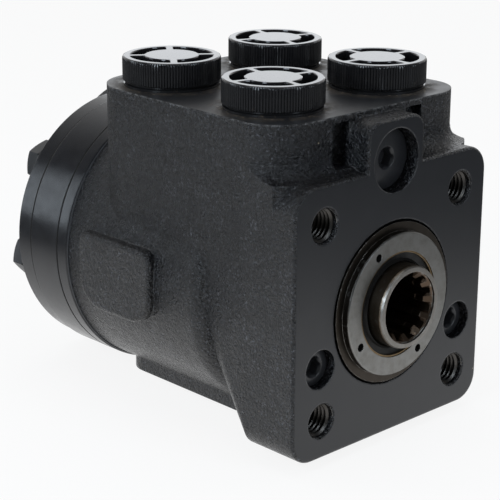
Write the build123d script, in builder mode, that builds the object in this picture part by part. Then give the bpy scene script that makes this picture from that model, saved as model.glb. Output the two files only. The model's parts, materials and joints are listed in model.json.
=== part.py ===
"""Orbital steering unit: a hydrostatic steering valve with its gerotor metering set.

Frame, in millimetres: the origin is the centre of the column-mounting face on the
spool axis. +Y runs from that face back through the unit, +X is to the right seen from
the column, and +Z points up out of the hose ports.
"""
from build123d import *
from math import atan, cos, degrees, hypot, pi, radians, sin, sqrt
import os

os.makedirs("parts", exist_ok=True)

# --- column-mounting flange -------------------------------------------------------
FLANGE_W = 82.0
FLANGE_T = 20.0
FLANGE_CORNER_R = 8.0
COLUMN_BOLT_CIRCLE = 82.55
COLUMN_HOLE_D = 10.0
COLUMN_HOLE_DEPTH = 17.0
COLUMN_HOLE_CHAMFER = 0.5
LUG_W = 24.0
LUG_TOP_Z = 55.2
LUG_CORNER_R = 5.0
EDGE_R = 1.0

# --- port block and its four hose ports --------------------------------------------
BLOCK_FRONT_Y = 7.6
BLOCK_REAR_Y = 91.8
BLOCK_REAR_W = 79.0
BLOCK_TOP_Z = 57.05
BLOCK_FRONT_R = 13.0
BLOCK_REAR_R = 16.0
COVE_R = 4.5
POCKET_W = 7.0
POCKET_DEPTH = 5.0
POCKET_CORNER_R = 2.5
PORT_PITCH_X = 43.92
PORT_PITCH_Y = 43.86
PORT_FRONT_Y = 28.2
PORT_THREAD_R = 9.4
PORT_DEPTH = 16.0
PORT_PASSAGE_R = 2.0

# --- barrel, neck, foot pad and side boss of the casting ------------------------------
BARREL_STEP = 0.76
BARREL_FRONT_Y = 35.0
BARREL_REAR_Y = 98.7
BARREL_SHOULDER_R = 7.0
NECK_R = 40.4
FOOT_PAD_W = 46.0
FOOT_PAD_REAR_Y = 96.0
FOOT_PAD_T = 12.0
FOOT_PAD_CORNER_R = 9.0
FOOT_PAD_EDGE_R = 3.0
SIDE_BOSS_OUT = 45.2
SIDE_BOSS_H = 24.0
SIDE_BOSS_FRONT_Y = 57.0
SIDE_BOSS_REAR_Y = 91.0
SIDE_BOSS_Z = -1.0
SIDE_BOSS_FRONT_R = 10.0
SIDE_BOSS_REAR_R = 3.5
SIDE_BOSS_EDGE_R = 1.4

# --- valve set: spool, sleeve, cross pin and leaf springs --------------------------
VALVE_FIT = 0.03
SPOOL_R = 13.45
SPOOL_NOSE_R = 12.5
SPOOL_NOSE_Y = -7.0
SPOOL_BORE_R = 10.8
NOSE_LIP_R = 12.1
SLEEVE_R = 19.0
SLEEVE_END_GAP = 0.3
METERING_GROOVE_W = 4.0
METERING_GROOVE_DEPTH = 2.0
METERING_HOLE_R = 1.25
METERING_HOLE_COUNT = 12
CROSS_PIN_R = 3.9
CROSS_PIN_Y = 62.0
NEUTRAL_ANGLE = 10.0
LEAF_Y = 22.5
LEAF_W = 4.6
LEAF_T = 0.55
LEAF_BOW = 0.9
LEAF_GAP = 0.15
PIN_SLOT_GAP = 0.1
PIN_SLOT_SPARE_ANGLE = 1.5
FLUTE_W = 2.4
FLUTE_L = 14.0
FLUTE_DEPTH = 1.0

# --- involute-type spline for the steering column -----------------------------------
SPLINE_TEETH = 12
SPLINE_MAJOR_R = 10.35
SPLINE_MINOR_R = 8.75
SPLINE_START_Y = -2.8
SPLINE_END_Y = 12.0
SPLINE_ROOT_HALF_ANGLE = 9.4
SPLINE_TIP_HALF_ANGLE = 5.0

# --- gland ring, seals and thrust bearing at the front ------------------------------
GLAND_BORE_R = 25.0
GLAND_DEPTH = 11.0
GLAND_R = 24.95
GLAND_RIM_R = 24.3
GLAND_RIM_Y = -0.3
GLAND_BOSS_R = 21.7
GLAND_BOSS_Y = -2.6
GLAND_HOLE_R = 1.25
GLAND_HOLE_CIRCLE_R = 18.6
GLAND_HOLE_DEPTH = 4.0
SEAL_CASE_R = 16.1
SEAL_CASE_T = 0.55
DUST_SEAL_DEPTH = 4.0
SHAFT_SEAL_DEPTH = 4.6
SEAL_SHAFT_GAP = 0.05
O_RING_WIRE_R = 0.8
GLAND_HOLE_ANGLES = (120, 210, 300)
RACE_R = 20.4
RACE_BORE_R = 13.0
RACE_T = 1.4
NEEDLE_D = 2.0
NEEDLE_COUNT = 18
RACE_HOUSING_GAP = 0.3
NEEDLE_GAP = 0.03
NEEDLE_END_LAND = 1.2
CAGE_T = 1.0

# --- metering gear set and rear plates -----------------------------------------------
PLATE_CHAMFER = 0.35
DISTRIBUTOR_T = 4.8
GEAR_T = 13.9
COVER_T = 7.45
COVER_STEP = 0.66
LOBES = 7
LOBE_R = 6.5
LOBE_CIRCLE_R = 28.5
ECCENTRICITY = 2.8
GEAR_CLEARANCE = 0.15
ROTOR_SIDE_GAP = 0.04
STAR_SAMPLES = 96
DRIVE_MAJOR_R = 9.6
DRIVE_MINOR_R = 8.2
DRIVE_TOOTH_CLEARANCE = 0.5
CARDAN_SHANK_R = 5.8
CARDAN_HEAD_R = 8.4
CARDAN_HEAD_FRONT = 8.0
CARDAN_HEAD_BACK = 10.0
CARDAN_TOOTH_TIP_ANGLE = 3.2
CARDAN_TOOTH_ROOT_ANGLE = 6.0
FORK_GAP = 0.15
FORK_END_GAP = 0.7
SPACER_T = 1.2
SPACER_GAP = 0.15
CARDAN_END_GAP = 1.0
DISTRIBUTOR_BORE_R = 11.5
DRILLING_R = 2.1
PLATE_SEAL_WIRE_R = 0.8
PLATE_SEAL_LAND = 5.6

# --- tie bolts through the rear plates --------------------------------------------------
TIE_BOLT_LOBE_PITCH = 7.0
TIE_BOLT_EDGE = 8.46
TIE_BOLT_R = 4.0
TIE_BOLT_CLEARANCE = 0.25
TIE_BOLT_GRIP = 14.0
TIE_HEAD_AF = 13.0
TIE_HEAD_H = 5.3
TIE_HEAD_CHAMFER_ANGLE = 30.0
WASHER_R = 7.2
WASHER_T = 1.0

# --- relief, shock and inlet check valves ------------------------------------------------
RELIEF_Z = 42.8
RELIEF_RECESS_R = 9.5
RELIEF_RECESS_DEPTH = 6.8
RELIEF_PLUG_L = 8.0
RELIEF_BORE_R = 4.6
RELIEF_SEAT_Y = 40.0
RELIEF_SOCKET_AF = 6.0
SHOCK_X = 30.0
SHOCK_Z = -13.1
SHOCK_RECESS_R = 5.9
SHOCK_RECESS_DEPTH = 3.6
SHOCK_PLUG_L = 7.5
SHOCK_BORE_R = 3.6
SHOCK_SEAT_Y = 32.0
SHOCK_SOCKET_AF = 5.0
SOCKET_DEPTH = 4.5
PLUG_GAP = 0.06
SEAT_T = 3.0
SEAT_HOLE_R = 1.6
VALVE_LIFT = 1.5
SPRING_WIRE_R = 0.5
SPRING_TURNS = 6
SHOCK_BALL_R = 3.0
CHECK_BALL_R = 3.0
CHECK_BUSH_R = 4.0
CHECK_BUSH_T = 4.0
CHECK_BUSH_HOLE_R = 2.0
CHECK_LIFT = 1.5

# --- hose-port caps -----------------------------------------------------------------------
CAP_R = 14.96
CAP_TOP_Z = 65.92
CAP_SKIRT_H = 7.4
CAP_NECK_R = 13.9
CAP_BASE_R = 14.6
CAP_BASE_T = 0.8
CAP_RIM_W = 2.4
CAP_HUB_R = 8.4
CAP_SPOKE_W = 2.2
CAP_WELL_DEPTH = 5.0
CAP_PLUG_GAP = 0.3
CAP_PLUG_L = 12.0
CAP_EDGE = 0.4
CAP_SPOKE_ANGLES = (45.0, 45.0, 8.0, 38.0)

# --- planes and places worked out from those sizes -----------------------------------------
FLANGE_HALF = FLANGE_W / 2
COLUMN_HOLE_PITCH = COLUMN_BOLT_CIRCLE / sqrt(2)
HOUSING_BORE_R = SLEEVE_R + VALVE_FIT
SLEEVE_BORE_R = SPOOL_R + VALVE_FIT
BEARING_END_Y = GLAND_DEPTH + 2 * RACE_T + NEEDLE_D
DISTRIBUTOR_Y = BARREL_REAR_Y
GEAR_Y = DISTRIBUTOR_Y + DISTRIBUTOR_T
COVER_Y = GEAR_Y + GEAR_T
COVER_END_Y = COVER_Y + COVER_T
GEAR_MID_Y = GEAR_Y + GEAR_T / 2
TIE_HOLE_R = TIE_BOLT_R + TIE_BOLT_CLEARANCE
TIE_BOLT_CIRCLE_R = LOBE_CIRCLE_R + TIE_BOLT_LOBE_PITCH
PLATE_R = TIE_BOLT_CIRCLE_R + TIE_BOLT_EDGE
COVER_R = PLATE_R - COVER_STEP
BARREL_R = PLATE_R - BARREL_STEP
PLATE_SEAL_R = TIE_BOLT_CIRCLE_R - PLATE_SEAL_LAND
DRILLING_CIRCLE_R = (HOUSING_BORE_R + PLATE_SEAL_R) / 2
TIE_BOLT_TIP_Y = BARREL_REAR_Y - TIE_BOLT_GRIP
PORT_REAR_Y = PORT_FRONT_Y + PORT_PITCH_Y
PORT_X = PORT_PITCH_X / 2
PORT_FLOOR_Z = BLOCK_TOP_Z - PORT_DEPTH
PORTS = {
    "left_front": (-PORT_X, PORT_FRONT_Y),
    "right_front": (PORT_X, PORT_FRONT_Y),
    "left_rear": (-PORT_X, PORT_REAR_Y),
    "right_rear": (PORT_X, PORT_REAR_Y),
}
PASSAGE_X = HOUSING_BORE_R + PORT_PASSAGE_R * 0.25
PASSAGE_SHIFT = METERING_GROOVE_W * 0.65
PASSAGES = {
    "left_front": (-PASSAGE_X, PORT_FRONT_Y + PASSAGE_SHIFT / 2),
    "right_front": (PASSAGE_X, PORT_FRONT_Y + PASSAGE_SHIFT * 2.5),
    "left_rear": (-PASSAGE_X, PORT_REAR_Y - PASSAGE_SHIFT),
    "right_rear": (PASSAGE_X, PORT_REAR_Y + PASSAGE_SHIFT),
}
METERING_ROW_Y = BARREL_REAR_Y - 2.2 * METERING_GROOVE_W
CHAMBER_ANGLE = 90 + 180 / LOBES
SEAL_FLOOR_Y = GLAND_BOSS_Y + DUST_SEAL_DEPTH + SHAFT_SEAL_DEPTH
CAVITY_R = LOBE_CIRCLE_R + 2 * ECCENTRICITY - LOBE_R + 2 * GEAR_CLEARANCE
LEAF_STACK_HALF = 2 * LEAF_T + LEAF_BOW + 2 * LEAF_GAP
CHECK_BUSH_Z = PORT_FLOOR_Z - CHECK_BUSH_T
CHECK_SEAT_Z = (
    CHECK_BUSH_Z
    - CHECK_LIFT
    - sqrt(CHECK_BALL_R**2 - CHECK_BUSH_HOLE_R**2)
    - sqrt(CHECK_BALL_R**2 - PORT_PASSAGE_R**2)
    - 2 * PLUG_GAP
)
TILT = degrees(atan(ECCENTRICITY / (GEAR_MID_Y - CROSS_PIN_Y)))


def section(y):
    """Cross-section plane at y, seen from the column, with X to the right and Z up."""
    return Plane.XZ.offset(-y)


def turned(points, mode=Mode.ADD):
    """Revolve a closed (radius, y) outline about the spool axis."""
    with BuildSketch(Plane.XY) as outline:
        with BuildLine():
            Polyline(*points, close=True)
        make_face()
    revolve(outline.sketch, axis=Axis.Y, mode=mode)


def bored(x, z, radius, y_from, y_to):
    """Cut a round hole parallel to the spool axis."""
    with BuildSketch(section(y_from)) as hole:
        with Locations((x, z)):
            Circle(radius)
    extrude(hole.sketch, amount=-(y_to - y_from), mode=Mode.SUBTRACT)


def drilled(x, y, radius, z_top, z_bottom):
    """Cut a round vertical hole down from z_top."""
    with BuildSketch(Plane.XY.offset(z_top)) as hole:
        with Locations((x, y)):
            Circle(radius)
    extrude(hole.sketch, amount=-(z_top - z_bottom), mode=Mode.SUBTRACT)


def spline_tooth(outer_r, inner_r, outer_half_angle, inner_half_angle):
    """One spline tooth outline, centred on the local +X axis."""
    outer, inner = radians(outer_half_angle), radians(inner_half_angle)
    Polygon(
        (outer_r * cos(outer), outer_r * sin(outer)),
        (inner_r * cos(inner), inner_r * sin(inner)),
        (inner_r * cos(inner), -inner_r * sin(inner)),
        (outer_r * cos(outer), -outer_r * sin(outer)),
        align=None,
    )


def star_point(angle):
    """Point of the rotor star: the lobe centres' trochoid, offset inwards."""
    teeth = LOBES - 1
    x = LOBE_CIRCLE_R * cos(angle) + ECCENTRICITY * cos(LOBES * angle)
    y = LOBE_CIRCLE_R * sin(angle) + ECCENTRICITY * sin(LOBES * angle)
    dx = -LOBE_CIRCLE_R * sin(angle) - LOBES * ECCENTRICITY * sin(LOBES * angle)
    dy = LOBE_CIRCLE_R * cos(angle) + LOBES * ECCENTRICITY * cos(LOBES * angle)
    inset = (LOBE_R + GEAR_CLEARANCE) / hypot(dx, dy)
    return x - dy * inset, y + dx * inset


def radial_plane(angle, radius, y):
    """Plane facing outwards from the spool axis at the given radius and angle."""
    direction = Vector(cos(angle), 0, sin(angle))
    return Plane(origin=direction * radius + Vector(0, y, 0), x_dir=(0, 1, 0), z_dir=direction)


def radial_hole(angle, radius, from_r, to_r, y):
    """Drill a radial hole between two radii."""
    with BuildSketch(radial_plane(angle, from_r, y)) as hole:
        Circle(radius)
    extrude(hole.sketch, amount=to_r - from_r, mode=Mode.SUBTRACT)


def leaf_slot(reach):
    """Slot across a tube for the stack of leaf springs."""
    with BuildSketch(section(LEAF_Y - LEAF_GAP)) as slot:
        Rectangle(2 * (LEAF_STACK_HALF + LEAF_GAP), 2 * reach)
    extrude(slot.sketch, amount=-(LEAF_W + 2 * LEAF_GAP), mode=Mode.SUBTRACT)


def rim_edges(builder, radius):
    """The two outer rim edges of a round plate."""
    circles = builder.edges().filter_by(GeomType.CIRCLE)
    return circles.filter_by(lambda edge: abs(edge.radius - radius) < 1e-4)


def cove_outline(plane, wall):
    """Concave fillet between a wall and the flange ledge, on a plane whose Y is the model's Z."""
    with BuildSketch(plane) as outline:
        with BuildLine():
            CenterArc((wall - COVE_R, FLANGE_HALF + COVE_R), COVE_R, -90, 90)
            Polyline(
                (wall, FLANGE_HALF + COVE_R),
                (wall + EDGE_R, FLANGE_HALF + COVE_R),
                (wall + EDGE_R, FLANGE_HALF - FLANGE_CORNER_R),
                (wall - COVE_R, FLANGE_HALF - FLANGE_CORNER_R),
                (wall - COVE_R, FLANGE_HALF),
            )
        make_face()
    return outline.sketch


def seal_groove(face_y, direction):
    """Face groove for a plate seal; direction is +1 behind the face, -1 in front of it."""
    half = PLATE_SEAL_WIRE_R * 1.1
    floor_y = face_y + direction * 2 * PLATE_SEAL_WIRE_R
    turned([
        (PLATE_SEAL_R - half, face_y),
        (PLATE_SEAL_R + half, face_y),
        (PLATE_SEAL_R + half, floor_y),
        (PLATE_SEAL_R - half, floor_y),
    ], mode=Mode.SUBTRACT)


def valve_plug(x, z, recess_r, recess_depth, length, socket_af):
    """Screwed plug at the bottom of its recess, with a hexagon socket."""
    with BuildSketch(section(recess_depth)) as plug_face:
        with Locations((x, z)):
            Circle(recess_r - PLUG_GAP)
    extrude(plug_face.sketch, amount=-length)
    with BuildSketch(section(recess_depth)) as socket:
        with Locations((x, z)):
            RegularPolygon(socket_af / 2, 6, major_radius=False)
    extrude(socket.sketch, amount=-SOCKET_DEPTH, mode=Mode.SUBTRACT)


def valve_seat(x, z, bore_r, seat_y):
    """Pressed-in seat ring."""
    with BuildSketch(section(seat_y)) as seat:
        with Locations((x, z)):
            Circle(bore_r - PLUG_GAP)
            Circle(SEAT_HOLE_R, mode=Mode.SUBTRACT)
    extrude(seat.sketch, amount=-SEAT_T)


def coil_spring(x, z, coil_r, from_y, to_y):
    """Helical spring along the Y direction between two faces."""
    start_y = from_y + SPRING_WIRE_R + PLUG_GAP
    length = to_y - from_y - 2 * (SPRING_WIRE_R + PLUG_GAP)
    with BuildLine(Plane.XY) as coil:
        Helix(length / SPRING_TURNS, length, coil_r, center=(x, start_y, z), direction=(0, 1, 0))
    with BuildSketch(Plane(origin=coil.line @ 0, z_dir=coil.line % 0)) as wire:
        Circle(SPRING_WIRE_R)
    sweep(wire.sketch, path=coil.line, is_frenet=True)


def save(part, label):
    """Label one finished piece and write its STEP file."""
    part.label = label
    export_step(part, f"parts/{label}.step")


# === housing: one casting with flange, port block, barrel, foot pad and side boss ===========
with BuildPart() as housing:
    with BuildSketch(section(0)):
        RectangleRounded(FLANGE_W, FLANGE_W, FLANGE_CORNER_R)
        with Locations((0, LUG_TOP_Z)):
            RectangleRounded(LUG_W, LUG_TOP_Z, LUG_CORNER_R, align=(Align.CENTER, Align.MAX))
    extrude(amount=-BLOCK_FRONT_Y)
    fillet(edges().group_by(Axis.Y)[0], EDGE_R)
    with BuildSketch(section(BLOCK_FRONT_Y)):
        RectangleRounded(FLANGE_W, FLANGE_W, FLANGE_CORNER_R)
    extrude(amount=-(FLANGE_T - BLOCK_FRONT_Y))
    # the lug runs back into the port block
    with BuildSketch(section(BLOCK_FRONT_Y)):
        with Locations((0, LUG_TOP_Z)):
            RectangleRounded(LUG_W, LUG_TOP_Z, LUG_CORNER_R, align=(Align.CENTER, Align.MAX))
    extrude(amount=-2 * POCKET_DEPTH)
    # neck from the square flange to the round barrel
    with BuildSketch(section(FLANGE_T)):
        RectangleRounded(FLANGE_W, FLANGE_W, FLANGE_CORNER_R)
    with BuildSketch(section(BARREL_FRONT_Y + EDGE_R)):
        RectangleRounded(2 * NECK_R, 2 * NECK_R, NECK_R * 0.98)
    loft(ruled=True)
    # barrel with its rounded front shoulder
    with BuildSketch(Plane.XY):
        with BuildLine():
            Polyline(
                (BARREL_R - BARREL_SHOULDER_R, BARREL_FRONT_Y),
                (0, BARREL_FRONT_Y),
                (0, BARREL_REAR_Y),
                (BARREL_R, BARREL_REAR_Y),
                (BARREL_R, BARREL_FRONT_Y + BARREL_SHOULDER_R),
            )
            RadiusArc(
                (BARREL_R, BARREL_FRONT_Y + BARREL_SHOULDER_R),
                (BARREL_R - BARREL_SHOULDER_R, BARREL_FRONT_Y),
                BARREL_SHOULDER_R,
            )
        make_face()
    revolve(axis=Axis.Y)
    # port block, slightly narrower at the rear
    with BuildSketch(Plane.XY):
        with BuildLine():
            block_outline = Polyline(
                (-FLANGE_HALF, BLOCK_FRONT_Y),
                (FLANGE_HALF, BLOCK_FRONT_Y),
                (BLOCK_REAR_W / 2, BLOCK_REAR_Y),
                (-BLOCK_REAR_W / 2, BLOCK_REAR_Y),
                close=True,
            )
        make_face()
        corners = vertices().sort_by(Axis.Y)
        fillet(corners[:2], BLOCK_FRONT_R)
        fillet(vertices().sort_by(Axis.Y)[-2:], BLOCK_REAR_R)
    extrude(amount=BLOCK_TOP_Z)
    # cast cove between the port block and the flange ledge, round both front corners
    with BuildPart(mode=Mode.PRIVATE) as cove:
        for side in (-1, 1):
            corner = (side * (FLANGE_HALF - BLOCK_FRONT_R), BLOCK_FRONT_Y + BLOCK_FRONT_R, 0)
            corner_plane = Plane(origin=corner, x_dir=(0, 1, 0), z_dir=(1, 0, 0))
            extrude(cove_outline(Plane.YZ, BLOCK_FRONT_Y), amount=side * (FLANGE_HALF - BLOCK_FRONT_R))
            revolve(
                cove_outline(corner_plane, -BLOCK_FRONT_R),
                axis=Axis(corner, (0, 0, 1)),
                revolution_arc=side * 90,
            )
        Box(FLANGE_W, 2 * BLOCK_REAR_Y, 2 * BLOCK_TOP_Z, mode=Mode.INTERSECT)
    add(cove.part)
    # foot pad level with the flange's lower edge
    with BuildSketch(Plane.XY.offset(-FLANGE_HALF)) as foot:
        with Locations((0, FLANGE_T / 2)):
            Rectangle(FOOT_PAD_W, FOOT_PAD_REAR_Y - FLANGE_T / 2, align=(Align.CENTER, Align.MIN))
        fillet(foot.vertices().sort_by(Axis.Y)[-2:], FOOT_PAD_CORNER_R)
    with BuildPart(mode=Mode.PRIVATE) as foot_pad:
        extrude(foot.sketch, amount=FOOT_PAD_T)
        bottom_edges = foot_pad.edges().group_by(Axis.Z)[0]
        fillet(bottom_edges, FOOT_PAD_EDGE_R)
    add(foot_pad.part)
    # undrilled side boss, square at the rear and round at the front
    with BuildSketch(Plane.YZ.offset(-SIDE_BOSS_OUT)) as boss_face:
        with Locations(((SIDE_BOSS_FRONT_Y + SIDE_BOSS_REAR_Y) / 2, SIDE_BOSS_Z)):
            Rectangle(SIDE_BOSS_REAR_Y - SIDE_BOSS_FRONT_Y, SIDE_BOSS_H)
        fillet(boss_face.vertices().sort_by(Axis.Y)[:2], SIDE_BOSS_FRONT_R)
        fillet(boss_face.vertices().sort_by(Axis.Y)[-2:], SIDE_BOSS_REAR_R)
    extrude(amount=SIDE_BOSS_OUT - SLEEVE_R * 1.6)
    fillet(edges().group_by(Axis.X)[0], SIDE_BOSS_EDGE_R)

    # pockets either side of the lug
    with BuildSketch(Plane.XY.offset(FLANGE_HALF + EDGE_R)):
        for side in (-1, 1):
            with Locations((side * (LUG_W / 2 + POCKET_W / 2), BLOCK_FRONT_Y)):
                RectangleRounded(POCKET_W, 2 * POCKET_DEPTH, POCKET_CORNER_R)
    extrude(amount=LUG_TOP_Z - FLANGE_HALF - EDGE_R, mode=Mode.SUBTRACT)
    # four blind column-bolt holes with chamfered mouths
    with BuildSketch(section(0)):
        with GridLocations(COLUMN_HOLE_PITCH, COLUMN_HOLE_PITCH, 2, 2):
            Circle(COLUMN_HOLE_D / 2)
    extrude(amount=-COLUMN_HOLE_DEPTH, mode=Mode.SUBTRACT)
    mouths = edges().filter_by(GeomType.CIRCLE).filter_by(lambda e: abs(e.radius - COLUMN_HOLE_D / 2) < 1e-4)
    chamfer(mouths.filter_by_position(Axis.Y, -0.01, 0.01), COLUMN_HOLE_CHAMFER)
    # gland seat, thrust-bearing space and valve bore
    turned([
        (0, 0),
        (GLAND_BORE_R, 0),
        (GLAND_BORE_R, GLAND_DEPTH),
        (RACE_R + RACE_HOUSING_GAP, GLAND_DEPTH),
        (RACE_R + RACE_HOUSING_GAP, BEARING_END_Y + RACE_HOUSING_GAP),
        (HOUSING_BORE_R, BEARING_END_Y + RACE_HOUSING_GAP),
        (HOUSING_BORE_R, BARREL_REAR_Y),
        (0, BARREL_REAR_Y),
    ], mode=Mode.SUBTRACT)
    # threaded ports and the passages from their floors to the sleeve's ring grooves
    for name, (port_x, port_y) in PORTS.items():
        passage_x, passage_y = PASSAGES[name]
        drilled(port_x, port_y, PORT_THREAD_R, BLOCK_TOP_Z, PORT_FLOOR_Z)
        drilled(passage_x, passage_y, PORT_PASSAGE_R, PORT_FLOOR_Z, 0)
    drilled(*PASSAGES["left_front"], CHECK_BUSH_R, PORT_FLOOR_Z, CHECK_SEAT_Z)
    # slanted drillings from the metering row to the gear chambers
    for index in range(LOBES):
        angle = radians(CHAMBER_ANGLE + index * 360 / LOBES)
        mouth = Vector(DRILLING_CIRCLE_R * cos(angle), BARREL_REAR_Y, DRILLING_CIRCLE_R * sin(angle))
        entry = Vector(SLEEVE_R * cos(angle), METERING_ROW_Y, SLEEVE_R * sin(angle))
        with BuildSketch(Plane(origin=mouth + (mouth - entry) * 0.2, z_dir=entry - mouth)):
            Circle(DRILLING_R)
        extrude(amount=(mouth - entry).length * 1.2, mode=Mode.SUBTRACT)
    # tapped holes for the tie bolts
    for index in range(LOBES):
        angle = radians(90 + index * 360 / LOBES)
        bored(
            TIE_BOLT_CIRCLE_R * cos(angle),
            TIE_BOLT_CIRCLE_R * sin(angle),
            TIE_BOLT_R + PLUG_GAP,
            TIE_BOLT_TIP_Y - TIE_BOLT_R,
            BARREL_REAR_Y,
        )
    # relief valve bore above the spool, with its wide recess in the front face
    bored(0, RELIEF_Z, RELIEF_RECESS_R, 0, RELIEF_RECESS_DEPTH + RELIEF_PLUG_L)
    bored(0, RELIEF_Z, RELIEF_BORE_R, RELIEF_RECESS_DEPTH, RELIEF_SEAT_Y + SEAT_T)
    bored(0, RELIEF_Z, SEAT_HOLE_R, RELIEF_SEAT_Y, RELIEF_SEAT_Y + 3 * SEAT_T)
    # shock valve bores low in the front face
    for side in (-1, 1):
        x = side * SHOCK_X
        bored(x, SHOCK_Z, SHOCK_RECESS_R, 0, SHOCK_RECESS_DEPTH + SHOCK_PLUG_L)
        bored(x, SHOCK_Z, SHOCK_BORE_R, SHOCK_RECESS_DEPTH, SHOCK_SEAT_Y + SEAT_T)
        bored(x, SHOCK_Z, SEAT_HOLE_R, SHOCK_SEAT_Y, SHOCK_SEAT_Y + 2 * SEAT_T)

save(housing.part, "housing")

# === gland ring, its seals and the thrust bearing =======================================
O_RING_GROOVE_Y = GLAND_DEPTH * 0.6
with BuildPart() as gland_ring:
    turned([
        (SEAL_CASE_R, GLAND_BOSS_Y),
        (GLAND_BOSS_R - PLATE_CHAMFER, GLAND_BOSS_Y),
        (GLAND_BOSS_R, GLAND_BOSS_Y + PLATE_CHAMFER),
        (GLAND_BOSS_R, GLAND_RIM_Y),
        (GLAND_RIM_R, GLAND_RIM_Y),
        (GLAND_RIM_R, GLAND_DEPTH * 0.15),
        (GLAND_R, GLAND_DEPTH * 0.2),
        (GLAND_R, GLAND_DEPTH),
        (RACE_BORE_R, GLAND_DEPTH),
        (RACE_BORE_R, SEAL_FLOOR_Y),
        (SEAL_CASE_R, SEAL_FLOOR_Y),
    ])
    turned([
        (GLAND_R - 2 * O_RING_WIRE_R, O_RING_GROOVE_Y - 1.25 * O_RING_WIRE_R),
        (GLAND_BORE_R, O_RING_GROOVE_Y - 1.25 * O_RING_WIRE_R),
        (GLAND_BORE_R, O_RING_GROOVE_Y + 1.25 * O_RING_WIRE_R),
        (GLAND_R - 2 * O_RING_WIRE_R, O_RING_GROOVE_Y + 1.25 * O_RING_WIRE_R),
    ], mode=Mode.SUBTRACT)
    for angle in GLAND_HOLE_ANGLES:
        bored(
            GLAND_HOLE_CIRCLE_R * cos(radians(angle)),
            GLAND_HOLE_CIRCLE_R * sin(radians(angle)),
            GLAND_HOLE_R,
            GLAND_BOSS_Y,
            GLAND_BOSS_Y + GLAND_HOLE_DEPTH,
        )
save(gland_ring.part, "gland_ring")

with BuildPart() as gland_o_ring:
    with BuildSketch(Plane.XY):
        with Locations((GLAND_R - O_RING_WIRE_R, O_RING_GROOVE_Y)):
            Circle(O_RING_WIRE_R)
    revolve(axis=Axis.Y)
save(gland_o_ring.part, "gland_o_ring")

DUST_SEAL_END_Y = GLAND_BOSS_Y + DUST_SEAL_DEPTH
SEAL_LIP_R = SPOOL_NOSE_R + SEAL_SHAFT_GAP
with BuildPart() as dust_seal_case:
    turned([
        (SEAL_CASE_R, GLAND_BOSS_Y + SEAL_CASE_T / 2),
        (SEAL_CASE_R, DUST_SEAL_END_Y),
        (RACE_BORE_R, DUST_SEAL_END_Y),
        (RACE_BORE_R, DUST_SEAL_END_Y - SEAL_CASE_T),
        (SEAL_CASE_R - SEAL_CASE_T, DUST_SEAL_END_Y - SEAL_CASE_T),
        (SEAL_CASE_R - SEAL_CASE_T, GLAND_BOSS_Y + SEAL_CASE_T / 2),
    ])
save(dust_seal_case.part, "dust_seal_case")

with BuildPart() as dust_seal:
    turned([
        (SEAL_CASE_R - SEAL_CASE_T, GLAND_BOSS_Y + 2 * SEAL_CASE_T),
        (SEAL_CASE_R - SEAL_CASE_T, DUST_SEAL_END_Y - SEAL_CASE_T),
        (SEAL_LIP_R + SEAL_CASE_T, DUST_SEAL_END_Y - SEAL_CASE_T),
        (SEAL_LIP_R + SEAL_CASE_T, DUST_SEAL_END_Y - 3 * SEAL_CASE_T),
        (SEAL_LIP_R, GLAND_BOSS_Y + 2 * SEAL_CASE_T),
        (SEAL_LIP_R + SEAL_CASE_T, GLAND_BOSS_Y + SEAL_CASE_T),
        (SEAL_LIP_R + 2 * SEAL_CASE_T, GLAND_BOSS_Y + 2.4 * SEAL_CASE_T),
    ])
save(dust_seal.part, "dust_seal")

with BuildPart() as shaft_seal:
    turned([
        (SEAL_CASE_R, DUST_SEAL_END_Y),
        (SEAL_CASE_R, SEAL_FLOOR_Y),
        (SEAL_LIP_R + SEAL_CASE_T, SEAL_FLOOR_Y),
        (SEAL_LIP_R, SEAL_FLOOR_Y - SEAL_CASE_T),
        (SEAL_LIP_R, SEAL_FLOOR_Y - 2 * SEAL_CASE_T),
        (SEAL_LIP_R + 2 * SEAL_CASE_T, DUST_SEAL_END_Y + SEAL_CASE_T),
        (SEAL_LIP_R + 2 * SEAL_CASE_T, DUST_SEAL_END_Y),
    ])
save(shaft_seal.part, "shaft_seal")

FRONT_RACE_END_Y = GLAND_DEPTH + RACE_T
REAR_RACE_Y = BEARING_END_Y - RACE_T
for label, race_y in (("front_bearing_race", GLAND_DEPTH), ("rear_bearing_race", REAR_RACE_Y)):
    with BuildPart() as race:
        turned([
            (RACE_BORE_R, race_y),
            (RACE_R, race_y),
            (RACE_R, race_y + RACE_T),
            (RACE_BORE_R, race_y + RACE_T),
        ])
    save(race.part, label)

NEEDLE_MID_Y = (FRONT_RACE_END_Y + REAR_RACE_Y) / 2
NEEDLE_R = NEEDLE_D / 2 - NEEDLE_GAP
NEEDLE_IN_R = RACE_BORE_R + NEEDLE_END_LAND
NEEDLE_OUT_R = RACE_R - NEEDLE_END_LAND
with BuildPart() as needle_cage:
    turned([
        (RACE_BORE_R, NEEDLE_MID_Y - CAGE_T / 2),
        (RACE_R, NEEDLE_MID_Y - CAGE_T / 2),
        (RACE_R, NEEDLE_MID_Y + CAGE_T / 2),
        (RACE_BORE_R, NEEDLE_MID_Y + CAGE_T / 2),
    ])
    with BuildSketch(section(NEEDLE_MID_Y)):
        with PolarLocations((NEEDLE_IN_R + NEEDLE_OUT_R) / 2, NEEDLE_COUNT):
            Rectangle(NEEDLE_OUT_R - NEEDLE_IN_R + 4 * NEEDLE_GAP, NEEDLE_D + 2 * NEEDLE_GAP)
    extrude(amount=CAGE_T, both=True, mode=Mode.SUBTRACT)
save(needle_cage.part, "needle_cage")

with BuildPart() as needles:
    for index in range(NEEDLE_COUNT):
        angle = radians(index * 360 / NEEDLE_COUNT)
        with BuildSketch(radial_plane(angle, NEEDLE_IN_R, NEEDLE_MID_Y)):
            Circle(NEEDLE_R)
        extrude(amount=NEEDLE_OUT_R - NEEDLE_IN_R)
save(needles.part, "bearing_needles")

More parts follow.
